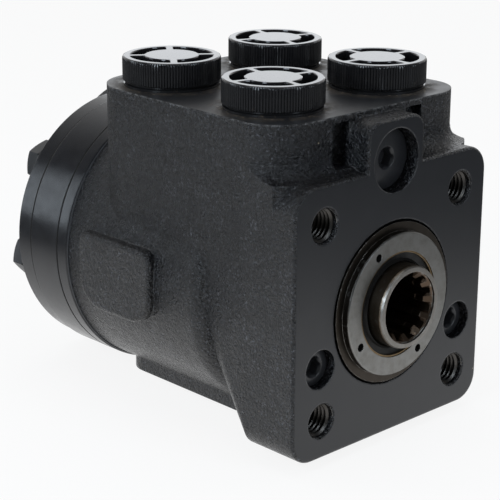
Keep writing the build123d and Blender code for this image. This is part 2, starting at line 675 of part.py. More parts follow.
# === sleeve, cross pin, centring springs and spool =========================================
SLEEVE_END_Y = DISTRIBUTOR_Y - SLEEVE_END_GAP
with BuildPart() as sleeve:
    turned([
        (SLEEVE_BORE_R, BEARING_END_Y),
        (SLEEVE_R, BEARING_END_Y),
        (SLEEVE_R, SLEEVE_END_Y),
        (SLEEVE_BORE_R, SLEEVE_END_Y),
    ])
    leaf_slot(SLEEVE_R + 1)
    with BuildSketch(Plane.YZ):
        with Locations((CROSS_PIN_Y, 0)):
            Circle(CROSS_PIN_R + VALVE_FIT)
    extrude(amount=SLEEVE_R + 1, both=True, mode=Mode.SUBTRACT)
    # one ring groove for each port, with its row of radial holes
    for groove_x, groove_y in PASSAGES.values():
        turned([
            (SLEEVE_R - METERING_GROOVE_DEPTH, groove_y - METERING_GROOVE_W / 2),
            (SLEEVE_R + 1, groove_y - METERING_GROOVE_W / 2),
            (SLEEVE_R + 1, groove_y + METERING_GROOVE_W / 2),
            (SLEEVE_R - METERING_GROOVE_DEPTH, groove_y + METERING_GROOVE_W / 2),
        ], mode=Mode.SUBTRACT)
        for index in range(METERING_HOLE_COUNT // 2):
            angle = radians((index + 0.5) * 720 / METERING_HOLE_COUNT)
            radial_hole(angle, METERING_HOLE_R, SPOOL_R - 1, SLEEVE_R + 1, groove_y)
    for index in range(METERING_HOLE_COUNT):
        angle = radians(index * 360 / METERING_HOLE_COUNT)
        radial_hole(angle, METERING_HOLE_R, SPOOL_R - 1, SLEEVE_R + 1, METERING_ROW_Y)
save(sleeve.part, "sleeve")

with BuildPart() as cross_pin:
    with BuildSketch(Plane.YZ):
        with Locations((CROSS_PIN_Y, 0)):
            Circle(CROSS_PIN_R)
    extrude(amount=sqrt(SLEEVE_R**2 - CROSS_PIN_R**2), both=True)
    chamfer(edges().filter_by(GeomType.CIRCLE), CROSS_PIN_R * 0.15)
save(cross_pin.part, "cross_pin")

LEAF_LENGTH = 2 * sqrt(SLEEVE_R**2 - LEAF_STACK_HALF**2) - LEAF_GAP
with BuildPart() as leaf_springs:
    for side in (-1, 1):
        flat_x = side * (LEAF_GAP + LEAF_T) / 2
        bow_x = side * (LEAF_GAP * 1.5 + LEAF_T)
        with BuildSketch(section(LEAF_Y)):
            with Locations((flat_x, 0)):
                Rectangle(LEAF_T, LEAF_LENGTH)
        extrude(amount=-LEAF_W)
        with BuildSketch(section(LEAF_Y)):
            with BuildLine():
                ThreePointArc(
                    (bow_x, -LEAF_LENGTH / 2), (bow_x + side * LEAF_BOW, 0), (bow_x, LEAF_LENGTH / 2)
                )
                Line((bow_x, LEAF_LENGTH / 2), (bow_x + side * LEAF_T, LEAF_LENGTH / 2))
                ThreePointArc(
                    (bow_x + side * LEAF_T, LEAF_LENGTH / 2),
                    (bow_x + side * (LEAF_BOW + LEAF_T), 0),
                    (bow_x + side * LEAF_T, -LEAF_LENGTH / 2),
                )
                Line((bow_x + side * LEAF_T, -LEAF_LENGTH / 2), (bow_x, -LEAF_LENGTH / 2))
            make_face()
        extrude(amount=-LEAF_W)
save(leaf_springs.part, "leaf_springs")

SPOOL_END_Y = SLEEVE_END_Y - SLEEVE_END_GAP
with BuildPart() as spool:
    turned([
        (SPOOL_BORE_R, SPOOL_NOSE_Y),
        (NOSE_LIP_R, SPOOL_NOSE_Y),
        (SPOOL_NOSE_R, SPOOL_NOSE_Y + 1),
        (SPOOL_NOSE_R, BEARING_END_Y + SLEEVE_END_GAP),
        (SPOOL_R, BEARING_END_Y + SLEEVE_END_GAP),
        (SPOOL_R, SPOOL_END_Y),
        (SPOOL_BORE_R, SPOOL_END_Y),
        (SPOOL_BORE_R, SPLINE_END_Y),
        (SPLINE_MAJOR_R, SPLINE_END_Y),
        (SPLINE_MAJOR_R, SPLINE_START_Y),
        (SPOOL_BORE_R, SPLINE_START_Y - (SPOOL_BORE_R - SPLINE_MAJOR_R)),
    ])
    with BuildSketch(section(SPLINE_START_Y)):
        with PolarLocations(0, SPLINE_TEETH):
            spline_tooth(
                SPLINE_MAJOR_R * 1.01, SPLINE_MINOR_R, SPLINE_ROOT_HALF_ANGLE, SPLINE_TIP_HALF_ANGLE
            )
    extrude(amount=-(SPLINE_END_Y - SPLINE_START_Y))
    # conical lead-in on the tooth ends
    turned([
        (0, SPLINE_START_Y - 1),
        (SPLINE_MAJOR_R, SPLINE_START_Y - 1),
        (SPLINE_MAJOR_R, SPLINE_START_Y),
        (0, SPLINE_START_Y + SPLINE_MAJOR_R),
    ], mode=Mode.SUBTRACT)
    leaf_slot(SPOOL_R + 1)
    # clearance slots let the spool turn about the cross pin to either side of neutral
    with BuildSketch(Plane.YZ):
        with Locations((CROSS_PIN_Y, 0)):
            SlotOverall(
                2 * (CROSS_PIN_R + SPOOL_R * sin(radians(NEUTRAL_ANGLE + PIN_SLOT_SPARE_ANGLE))),
                2 * (CROSS_PIN_R + PIN_SLOT_GAP),
                rotation=90,
            )
    extrude(amount=SPOOL_R + 1, both=True, mode=Mode.SUBTRACT)
    # axial metering flutes in the outer surface
    with BuildSketch(section(METERING_ROW_Y - FLUTE_L)):
        with PolarLocations(SPOOL_R, METERING_HOLE_COUNT // 2):
            Rectangle(2 * FLUTE_DEPTH, FLUTE_W)
    extrude(amount=-1.5 * FLUTE_L, mode=Mode.SUBTRACT)
save(spool.part, "spool")

# === cardan shaft, drive spacer and rotor =====================================================
# the cardan tilts about the cross pin towards the rotor's offset centre
CARDAN_AXIS = Vector(0, cos(radians(TILT)), -sin(radians(TILT)))
CARDAN_LENGTH = hypot(GEAR_MID_Y - CROSS_PIN_Y, ECCENTRICITY)
CARDAN_SPLINE_HALF = GEAR_T / 2 - SPACER_GAP - SPACER_T - CARDAN_END_GAP
DRIVE_TOOTH_ROOT_R = DRIVE_MINOR_R - DRIVE_TOOTH_CLEARANCE
DRIVE_TOOTH_TIP_R = DRIVE_MAJOR_R - DRIVE_TOOTH_CLEARANCE
with BuildPart() as cardan_shaft:
    turned([
        (0, -CARDAN_HEAD_FRONT),
        (CARDAN_HEAD_R * 0.8, -CARDAN_HEAD_FRONT),
        (CARDAN_HEAD_R, -CARDAN_HEAD_FRONT * 0.6),
        (CARDAN_HEAD_R, CARDAN_HEAD_BACK * 0.6),
        (CARDAN_SHANK_R, CARDAN_HEAD_BACK),
        (CARDAN_SHANK_R, CARDAN_LENGTH - CARDAN_SPLINE_HALF - 2),
        (DRIVE_TOOTH_ROOT_R, CARDAN_LENGTH - CARDAN_SPLINE_HALF),
        (DRIVE_TOOTH_ROOT_R, CARDAN_LENGTH + CARDAN_SPLINE_HALF),
        (0, CARDAN_LENGTH + CARDAN_SPLINE_HALF),
    ])
    with BuildSketch(section(CARDAN_LENGTH - CARDAN_SPLINE_HALF)):
        with PolarLocations(0, SPLINE_TEETH, start_angle=180 / SPLINE_TEETH):
            spline_tooth(
                DRIVE_TOOTH_TIP_R, DRIVE_TOOTH_ROOT_R - 1, CARDAN_TOOTH_TIP_ANGLE, CARDAN_TOOTH_ROOT_ANGLE
            )
    extrude(amount=-2 * CARDAN_SPLINE_HALF)
    # fork slot, open at the front, that takes the cross pin
    with BuildSketch(Plane.YZ):
        with Locations((-CARDAN_HEAD_FRONT / 2 - 1, 0)):
            Rectangle(CARDAN_HEAD_FRONT + 2, 2 * (CROSS_PIN_R + FORK_GAP))
        Circle(CROSS_PIN_R + FORK_GAP)
        with Locations((FORK_END_GAP, 0)):
            Circle(CROSS_PIN_R + FORK_GAP)
        Rectangle(2 * FORK_END_GAP, 2 * (CROSS_PIN_R + FORK_GAP))
    extrude(amount=CARDAN_HEAD_R + 1, both=True, mode=Mode.SUBTRACT)
CARDAN_PLACE = Location((0, CROSS_PIN_Y, 0)) * Location((0, 0, 0), (-TILT, 0, 0))
save(CARDAN_PLACE * cardan_shaft.part, "cardan_shaft")

with BuildPart() as drive_spacer:
    with BuildSketch(section(COVER_Y - SPACER_GAP - SPACER_T)):
        with Locations((0, -ECCENTRICITY)):
            Circle(DRIVE_MINOR_R - DRIVE_TOOTH_CLEARANCE)
    extrude(amount=-SPACER_T)
save(drive_spacer.part, "drive_spacer")

STAR_POINTS = [star_point(2 * pi * index / STAR_SAMPLES) for index in range(STAR_SAMPLES)]
with BuildPart() as rotor:
    with BuildSketch(section(GEAR_Y + ROTOR_SIDE_GAP)):
        with BuildLine():
            Spline(*[(-y, x - ECCENTRICITY) for x, y in STAR_POINTS], periodic=True)
        make_face()
        with Locations((0, -ECCENTRICITY)):
            Circle(DRIVE_MAJOR_R, mode=Mode.SUBTRACT)
            with PolarLocations(0, SPLINE_TEETH):
                spline_tooth(
                    DRIVE_MAJOR_R * 1.01, DRIVE_MINOR_R, SPLINE_ROOT_HALF_ANGLE, SPLINE_TIP_HALF_ANGLE
                )
    extrude(amount=-(GEAR_T - 2 * ROTOR_SIDE_GAP))
save(rotor.part, "rotor")

# === rear plates, their seals and the tie bolts ==================================================
with BuildPart() as gear_ring:
    with BuildSketch(section(GEAR_Y)):
        Circle(PLATE_R)
        Circle(CAVITY_R, mode=Mode.SUBTRACT)
        with PolarLocations(LOBE_CIRCLE_R, LOBES, start_angle=90):
            Circle(LOBE_R)
        with PolarLocations(TIE_BOLT_CIRCLE_R, LOBES, start_angle=90):
            Circle(TIE_HOLE_R, mode=Mode.SUBTRACT)
    extrude(amount=-GEAR_T)
    chamfer(rim_edges(gear_ring, PLATE_R), PLATE_CHAMFER)
save(gear_ring.part, "gear_ring")

with BuildPart() as distributor_plate:
    with BuildSketch(section(DISTRIBUTOR_Y)):
        Circle(PLATE_R)
        Circle(DISTRIBUTOR_BORE_R, mode=Mode.SUBTRACT)
        with PolarLocations(DRILLING_CIRCLE_R, LOBES, start_angle=CHAMBER_ANGLE):
            Circle(DRILLING_R, mode=Mode.SUBTRACT)
        with PolarLocations(TIE_BOLT_CIRCLE_R, LOBES, start_angle=90):
            Circle(TIE_HOLE_R, mode=Mode.SUBTRACT)
    extrude(amount=-DISTRIBUTOR_T)
    chamfer(rim_edges(distributor_plate, PLATE_R), PLATE_CHAMFER)
    seal_groove(DISTRIBUTOR_Y, 1)
    seal_groove(GEAR_Y, -1)
save(distributor_plate.part, "distributor_plate")

with BuildPart() as end_cover:
    with BuildSketch(section(COVER_Y)):
        Circle(COVER_R)
        with PolarLocations(TIE_BOLT_CIRCLE_R, LOBES, start_angle=90):
            Circle(TIE_HOLE_R, mode=Mode.SUBTRACT)
    extrude(amount=-COVER_T)
    chamfer(rim_edges(end_cover, COVER_R), PLATE_CHAMFER)
    seal_groove(COVER_Y, 1)
save(end_cover.part, "end_cover")

PLATE_SEALS = {
    "housing_seal": DISTRIBUTOR_Y + PLATE_SEAL_WIRE_R,
    "gear_seal": GEAR_Y - PLATE_SEAL_WIRE_R,
    "cover_seal": COVER_Y + PLATE_SEAL_WIRE_R,
}
for label, seal_y in PLATE_SEALS.items():
    with BuildPart() as plate_seal:
        with BuildSketch(Plane.XY):
            with Locations((PLATE_SEAL_R, seal_y)):
                Circle(PLATE_SEAL_WIRE_R)
        revolve(axis=Axis.Y)
    save(plate_seal.part, label)

with BuildPart() as washers:
    with BuildSketch(section(COVER_END_Y)):
        with PolarLocations(TIE_BOLT_CIRCLE_R, LOBES, start_angle=90):
            Circle(WASHER_R)
            Circle(TIE_HOLE_R, mode=Mode.SUBTRACT)
    extrude(amount=-WASHER_T)
save(washers.part, "washers")

TIE_HEAD_Y = COVER_END_Y + WASHER_T
with BuildPart() as tie_bolts:
    with BuildSketch(section(TIE_HEAD_Y)):
        with PolarLocations(TIE_BOLT_CIRCLE_R, LOBES, start_angle=90):
            RegularPolygon(TIE_HEAD_AF / 2, 6, major_radius=False)
    extrude(amount=-TIE_HEAD_H)
    # the corners are cut away by a cone round each head
    with BuildSketch(section(TIE_HEAD_Y + TIE_HEAD_H)):
        with PolarLocations(TIE_BOLT_CIRCLE_R, LOBES, start_angle=90):
            Circle(TIE_HEAD_AF * 0.48)
    extrude(amount=TIE_HEAD_H, taper=-(90 - TIE_HEAD_CHAMFER_ANGLE), mode=Mode.INTERSECT)
    with BuildSketch(section(TIE_HEAD_Y)):
        with PolarLocations(TIE_BOLT_CIRCLE_R, LOBES, start_angle=90):
            Circle(TIE_BOLT_R)
    extrude(amount=TIE_HEAD_Y - TIE_BOLT_TIP_Y)
save(tie_bolts.part, "tie_bolts")

# === relief valve, shock valves and inlet check valve ===============================================
with BuildPart() as relief_plug:
    valve_plug(0, RELIEF_Z, RELIEF_RECESS_R, RELIEF_RECESS_DEPTH, RELIEF_PLUG_L, RELIEF_SOCKET_AF)
save(relief_plug.part, "relief_plug")

with BuildPart() as relief_seat:
    valve_seat(0, RELIEF_Z, RELIEF_BORE_R, RELIEF_SEAT_Y)
save(relief_seat.part, "relief_seat")

CONE_L = RELIEF_BORE_R * 1.6
CONE_GUIDE_R = RELIEF_BORE_R * 0.75
with BuildPart() as relief_cone:
    with BuildSketch(Plane.XY.offset(RELIEF_Z)):
        with BuildLine():
            Polyline(
                (0, RELIEF_SEAT_Y + SEAT_T * 0.3),
                (SEAT_HOLE_R - PLUG_GAP, RELIEF_SEAT_Y - PLUG_GAP),
                (CONE_GUIDE_R, RELIEF_SEAT_Y - CONE_L * 0.35),
                (CONE_GUIDE_R, RELIEF_SEAT_Y - CONE_L),
                (0, RELIEF_SEAT_Y - CONE_L),
                close=True,
            )
        make_face()
    revolve(axis=Axis((0, 0, RELIEF_Z), (0, 1, 0)))
save(relief_cone.part, "relief_cone")

with BuildPart() as relief_spring:
    coil_spring(
        0, RELIEF_Z, CONE_GUIDE_R - SPRING_WIRE_R,
        RELIEF_RECESS_DEPTH + RELIEF_PLUG_L, RELIEF_SEAT_Y - CONE_L,
    )
save(relief_spring.part, "relief_spring")

SHOCK_BALL_Y = SHOCK_SEAT_Y - sqrt(SHOCK_BALL_R**2 - SEAT_HOLE_R**2) - PLUG_GAP
SHOCK_COIL_R = SHOCK_BALL_R - SPRING_WIRE_R
SHOCK_SPRING_END_Y = (
    SHOCK_BALL_Y - sqrt((SHOCK_BALL_R + SPRING_WIRE_R) ** 2 - SHOCK_COIL_R**2) + SPRING_WIRE_R
)
for name, side in (("left", -1), ("right", 1)):
    x = side * SHOCK_X
    with BuildPart() as shock_plug:
        valve_plug(x, SHOCK_Z, SHOCK_RECESS_R, SHOCK_RECESS_DEPTH, SHOCK_PLUG_L, SHOCK_SOCKET_AF)
    save(shock_plug.part, f"{name}_shock_plug")
    with BuildPart() as shock_seat:
        valve_seat(x, SHOCK_Z, SHOCK_BORE_R, SHOCK_SEAT_Y)
    save(shock_seat.part, f"{name}_shock_seat")
    with BuildPart() as shock_ball:
        with Locations((x, SHOCK_BALL_Y, SHOCK_Z)):
            Sphere(SHOCK_BALL_R)
    save(shock_ball.part, f"{name}_shock_ball")
    with BuildPart() as shock_spring:
        coil_spring(
            x, SHOCK_Z, SHOCK_COIL_R, SHOCK_RECESS_DEPTH + SHOCK_PLUG_L, SHOCK_SPRING_END_Y,
        )
    save(shock_spring.part, f"{name}_shock_spring")

CHECK_X, CHECK_Y = PASSAGES["left_front"]
CHECK_BALL_Z = CHECK_SEAT_Z + sqrt(CHECK_BALL_R**2 - PORT_PASSAGE_R**2) + PLUG_GAP
with BuildPart() as check_bush:
    with BuildSketch(Plane.XY.offset(CHECK_BUSH_Z)):
        with Locations((CHECK_X, CHECK_Y)):
            Circle(CHECK_BUSH_R - PLUG_GAP)
            Circle(CHECK_BUSH_HOLE_R, mode=Mode.SUBTRACT)
    extrude(amount=CHECK_BUSH_T)
save(check_bush.part, "check_bush")

with BuildPart() as check_ball:
    with Locations((CHECK_X, CHECK_Y, CHECK_BALL_Z)):
        Sphere(CHECK_BALL_R)
save(check_ball.part, "check_ball")

# === screw-in plastic caps in the four hose ports ======================================================
CAP_TURNS = dict(zip(PORTS, CAP_SPOKE_ANGLES))
SKIRT_Z = CAP_TOP_Z - CAP_SKIRT_H
for name, (port_x, port_y) in PORTS.items():
    with BuildPart() as cap:
        with BuildSketch(Plane.XZ):
            with BuildLine():
                Polyline(
                    (0, CAP_TOP_Z),
                    (CAP_R - CAP_EDGE, CAP_TOP_Z),
                    (CAP_R, CAP_TOP_Z - CAP_EDGE),
                    (CAP_R, SKIRT_Z + CAP_EDGE),
                    (CAP_NECK_R, SKIRT_Z),
                    (CAP_NECK_R, BLOCK_TOP_Z + CAP_BASE_T),
                    (CAP_BASE_R, BLOCK_TOP_Z + CAP_BASE_T),
                    (CAP_BASE_R, BLOCK_TOP_Z),
                    (PORT_THREAD_R - CAP_PLUG_GAP, BLOCK_TOP_Z),
                    (PORT_THREAD_R - CAP_PLUG_GAP, BLOCK_TOP_Z - CAP_PLUG_L),
                    (0, BLOCK_TOP_Z - CAP_PLUG_L),
                    close=True,
                )
            make_face()
        revolve(axis=Axis.Z)
        with BuildSketch(Plane.XY.offset(CAP_TOP_Z)):
            Circle(CAP_R - CAP_RIM_W)
            Circle(CAP_HUB_R, mode=Mode.SUBTRACT)
            Rectangle(2 * CAP_R, CAP_SPOKE_W, rotation=CAP_TURNS[name], mode=Mode.SUBTRACT)
            Rectangle(CAP_SPOKE_W, 2 * CAP_R, rotation=CAP_TURNS[name], mode=Mode.SUBTRACT)
        extrude(amount=-CAP_WELL_DEPTH, mode=Mode.SUBTRACT)
    save(Location((port_x, port_y, 0)) * cap.part, f"{name}_cap")
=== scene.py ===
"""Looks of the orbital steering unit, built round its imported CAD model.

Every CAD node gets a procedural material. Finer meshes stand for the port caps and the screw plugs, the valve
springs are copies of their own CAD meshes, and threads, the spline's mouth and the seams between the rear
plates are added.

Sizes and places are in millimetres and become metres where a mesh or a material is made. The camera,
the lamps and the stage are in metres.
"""
import json
from math import asin, cos, pi, radians, sin

import bmesh
import bpy
from mathutils import Matrix, Vector


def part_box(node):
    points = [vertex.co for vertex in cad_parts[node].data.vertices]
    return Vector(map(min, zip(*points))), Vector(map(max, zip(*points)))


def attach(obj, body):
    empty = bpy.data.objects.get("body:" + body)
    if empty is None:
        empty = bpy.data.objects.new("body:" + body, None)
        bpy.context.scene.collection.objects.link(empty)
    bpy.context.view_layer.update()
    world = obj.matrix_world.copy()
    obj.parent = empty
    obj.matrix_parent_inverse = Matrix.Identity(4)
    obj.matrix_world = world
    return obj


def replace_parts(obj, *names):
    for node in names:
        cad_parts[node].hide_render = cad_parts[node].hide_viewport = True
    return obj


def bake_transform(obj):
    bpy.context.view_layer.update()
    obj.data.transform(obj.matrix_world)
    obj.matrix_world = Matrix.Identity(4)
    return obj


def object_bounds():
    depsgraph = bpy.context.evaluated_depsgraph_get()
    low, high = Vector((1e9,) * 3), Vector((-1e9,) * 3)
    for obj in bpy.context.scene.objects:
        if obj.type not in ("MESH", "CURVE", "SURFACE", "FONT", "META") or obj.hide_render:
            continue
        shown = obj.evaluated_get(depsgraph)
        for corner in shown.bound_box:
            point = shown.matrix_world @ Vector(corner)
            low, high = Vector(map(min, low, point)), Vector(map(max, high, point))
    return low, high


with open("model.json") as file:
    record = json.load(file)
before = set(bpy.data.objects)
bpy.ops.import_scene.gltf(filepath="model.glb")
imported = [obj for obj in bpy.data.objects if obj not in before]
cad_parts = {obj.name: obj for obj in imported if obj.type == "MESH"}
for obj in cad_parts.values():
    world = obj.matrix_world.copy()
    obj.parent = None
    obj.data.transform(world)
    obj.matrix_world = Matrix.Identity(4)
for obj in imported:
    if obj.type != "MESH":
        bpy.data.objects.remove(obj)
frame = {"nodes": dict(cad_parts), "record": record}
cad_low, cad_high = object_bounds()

MM = 0.001


def box_mm(node_name):
    """Lowest and highest corner of a CAD node, in millimetres."""
    low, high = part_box(node_name)
    return low / MM, high / MM


def middle_mm(node_name):
    low, high = box_mm(node_name)
    return (low + high) / 2


# --- the photograph's camera, solved from the flange and the port caps (metres) -----------------
CAMERA_PLACE = Vector((-0.34079, -0.29446, 0.16012))
CAMERA_RIGHT = Vector((0.72224, -0.69162, 0.00497))
CAMERA_UP = Vector((0.20850, 0.22457, 0.95189))
CAMERA_BACK = Vector((-0.65946, -0.68646, 0.30640))
CAMERA_LENS = 116.92
CAMERA_SENSOR = 36.0

# --- stage: reflections see the floor and the room fade away from the object (metres) -----------
FLOOR_GAP = 0.34 * MM
FLOOR_Z = cad_low[2] - FLOOR_GAP
FLOOR_HALF = 6.0
FLOOR_MIDDLE = (0.0, 0.055, FLOOR_Z)
FLOOR_SHADE = (0.9, 0.9, 0.9)
FLOOR_GLOW_SHARE = 0.87
FLOOR_FADE = {"From Min": 0.11, "From Max": 0.29, "To Min": 1.0, "To Max": 0.08}
ROOM_FADE = {"From Min": -0.75, "From Max": -0.02, "To Min": 1.0, "To Max": 0.05}
DOME_SHADE = (0.96, 0.98, 1.0)
DOME_STRENGTH = 0.5

# --- lamps: place, aim, width and height (metres), watts, tint ----------------------------------
LAMPS = {
    "side_strip": ((-0.75, -0.08, 0.32), (0.0, 0.03, 0.03), (0.19, 0.6), 3.0, (0.78, 0.89, 1.0)),
    "front_strip": ((0.14, -0.82, 0.32), (0.0, 0.03, 0.03), (0.19, 0.6), 2.1, (0.78, 0.89, 1.0)),
    "top_softbox": ((0.0, 0.2, 0.9), (0.0, 0.05, 0.0), (0.7, 0.7), 1.9, (1.0, 1.0, 1.0)),
    "back_softbox": ((0.98, 1.08, 0.39), (0.0, 0.05, 0.06), (0.9, 0.44), 1.05, (0.86, 0.92, 1.0)),
    "grain_light": ((-0.66, 0.80, 0.24), (0.0, 0.05, 0.02), (0.34, 0.5), 1.2, (0.82, 0.91, 1.0)),
}

# --- the casting and the stacked rear plates, from the frame ------------------------------------
HOUSING_HIGH = box_mm("housing")[1]
TOP_FACE_Z = HOUSING_HIGH.z
FACE_TOLERANCE = 0.06
SQUARE_ON = 0.98
GEAR_LOW, GEAR_HIGH = box_mm("gear_ring")
COVER_HIGH = box_mm("end_cover")[1]

# --- joints between the stacked plates: place, radius, half width, finish -----------------------
SEAMS = {
    "barrel_joint": (HOUSING_HIGH.y - 0.04, HOUSING_HIGH.x + 0.38, 0.34, "worn_paint"),
    "gear_front_seam": (GEAR_LOW.y, GEAR_HIGH.x + 0.03, 0.26, "seam_black"),
    "gear_rear_seam": (GEAR_HIGH.y + 0.45, COVER_HIGH.x + 0.12, 0.5, "seam_black"),
}
SEAM_DEPTH = 1.4
SEAM_CROWN = 0.10
SEAM_FLAT = 0.45
SEAM_STEPS = 180

# --- hex-socket plugs: face and socket flats ----------------------------------------------------
PLUGS = {"relief_plug": (4.1, 5.4), "left_shock_plug": (2.8, 5.2), "right_shock_plug": (2.8, 5.2)}
PLUG_CHAMFER = 0.6
SOCKET_DEPTH = 3.6
SOCKET_CHAMFER_END = 0.75
SOCKET_MOUTH = 1.2
PLUG_STEPS = 72

# --- valve springs: moving end's body, and the closed coil at that end --------------------------
SPRINGS = {
    "relief_spring": ("relief_cone", 0.77),
    "left_shock_spring": ("left_shock_ball", 0.99),
    "right_shock_spring": ("right_shock_ball", 0.99),
}

# --- mouth of the input spline ------------------------------------------------------------------
SPLINE_TEETH = 12
SPLINE_WALL_R = 10.86
SPLINE_ROOT_R = 10.35
SPLINE_TIP_R = 8.78
SPOOL_NOSE_Y = box_mm("spool")[0].y
SPLINE_LEAD = 0.5
SPLINE_MOUTH_Y = SPOOL_NOSE_Y + 1.1
SPLINE_MOUTH_END_Y = SPOOL_NOSE_Y + 5.7
# one tooth and the space after it: degrees round, and how far in from the root to the tip
SPLINE_COLUMNS = ((-9.3, 0.0), (-4.9, 1.0), (4.9, 1.0), (9.3, 0.0), (13.0, 0.0), (17.0, 0.0))

# --- column-bolt threads, M10 x 1.5, in the holes of the record's bolt pattern ------------------
COLUMN_BOLTS = next(mount for mount in frame["record"]["mounts"] if mount["name"] == "column_bolts")
COLUMN_HOLE_PITCH = COLUMN_BOLTS["dims"]["spacing_x_mm"]
THREAD_ROOT_R = COLUMN_BOLTS["dims"]["hole_r_mm"] + 0.04
THREAD_CREST_R = 4.25
THREAD_PITCH = 1.5
THREAD_START_Y = 1.0
THREAD_TURNS = 10
THREAD_STEPS = 40
THREAD_FADE_TURNS = 0.6
THREAD_ROOT_HALF = 0.46 * THREAD_PITCH
THREAD_CREST_HALF = 0.09 * THREAD_PITCH

# --- screwed port caps: how far each one's spokes are turned, in degrees ------------------------
CAP_SPINS = {"left_front_cap": 78.0, "right_front_cap": 86.0, "left_rear_cap": 52.5, "right_rear_cap": 72.5}
PORTS_MIDDLE = (middle_mm("left_front_cap") + middle_mm("right_rear_cap")) / 2
PORTS_HALF = (middle_mm("right_rear_cap") - middle_mm("left_front_cap")) / 2
CAP_LOW, CAP_HIGH = box_mm("left_front_cap")
CAP_R = (CAP_HIGH.x - CAP_LOW.x) / 2
CAP_TOP_Z = CAP_HIGH.z
CAP_SKIRT_H = 7.4
CAP_NECK_R = 13.9
CAP_BASE_R = 14.6
CAP_BASE_T = 0.7
CAP_NECK_FOOT = 0.95
CAP_RIM_W = 2.4
CAP_HUB_R = 8.4
CAP_SPOKE_W = 2.2
CAP_WELL_DEPTH = 5.0
CAP_EDGE = 0.35
CAP_SPOKES = 4
WELL_STEPS = 16
FLUTES = 110
FLUTE_STEPS = 6
FLUTE_DEPTH = 0.32
FLUTE_SHARPNESS = 2.5
GRIME_START_R, GRIME_END_R = 14.8, 19.5

# --- shades of paint, dirt and wear, and a painted highlight for the grain's crests -------------
PAINT_DARK, PAINT_LIGHT = (0.0016, 0.0017, 0.0024), (0.0034, 0.0036, 0.0048)
MACHINED_PAINT = (0.0085, 0.0094, 0.0116)
# pale bluish paint for the casting grain's crests: a painted highlight
CREST_HIGHLIGHT = (0.110, 0.114, 0.130)
RUBBED_PAINT = (0.12, 0.12, 0.122)
OILY_GRIME = (0.05, 0.038, 0.026)
CRUMBS = (0.16, 0.125, 0.085)
LINT = (0.26, 0.225, 0.165)
PAINT_IOR = 1.5

# --- darker zones about the spool's axis, partly painted shade: inner and outer radius, front, rear, shade, roughness
GLAND_ZONES = (
    (21.45, 26.0, -2.35, 12.0, (0.048, 0.041, 0.034), 0.36),
    (12.0, 16.4, -2.4, 12.0, (0.06, 0.05, 0.04), 0.40),
    # painted shade: the gland darker everywhere behind its front
    (0.0, 60.0, 0.6, 40.0, (0.09, 0.085, 0.08), 0.38),
)
SPOOL_ZONES = (
    # painted shade: darker and browner inside the spline's bore
    (0.0, 10.75, -7.2, 14.0, (0.11, 0.078, 0.056), 0.36),
    (12.2, 13.0, -6.4, 14.0, (0.13, 0.105, 0.08), 0.36),
)
ZONE_RADIUS_FADE, ZONE_DEPTH_FADE = 0.15, 0.1


# === node trees =================================================================================
class Nodes:
    """A node tree whose nodes are added and wired in one call each."""

    def __init__(self, tree):
        self.tree = tree

    def set(self, node, socket, value):
        """Links an output to a socket, or writes a constant on it."""
        target = node.inputs[socket]
        if isinstance(value, bpy.types.NodeSocket):
            self.tree.links.new(value, target)
        elif target.type == "RGBA":
            target.default_value = (*value, 1.0)
        else:
            target.default_value = value

    def add(self, kind, inputs, **settings):
        node = self.tree.nodes.new("ShaderNode" + kind)
        for key, value in settings.items():
            setattr(node, key, value)
        for socket, value in inputs.items():
            self.set(node, socket, value)
        return node

    def calc(self, operation, first, second=0.0):
        return self.add("Math", {0: first, 1: second}, operation=operation).outputs[0]

    def times(self, first, *others):
        """Product of all the values."""
        for other in others:
            first = self.calc("MULTIPLY", first, other)
        return first


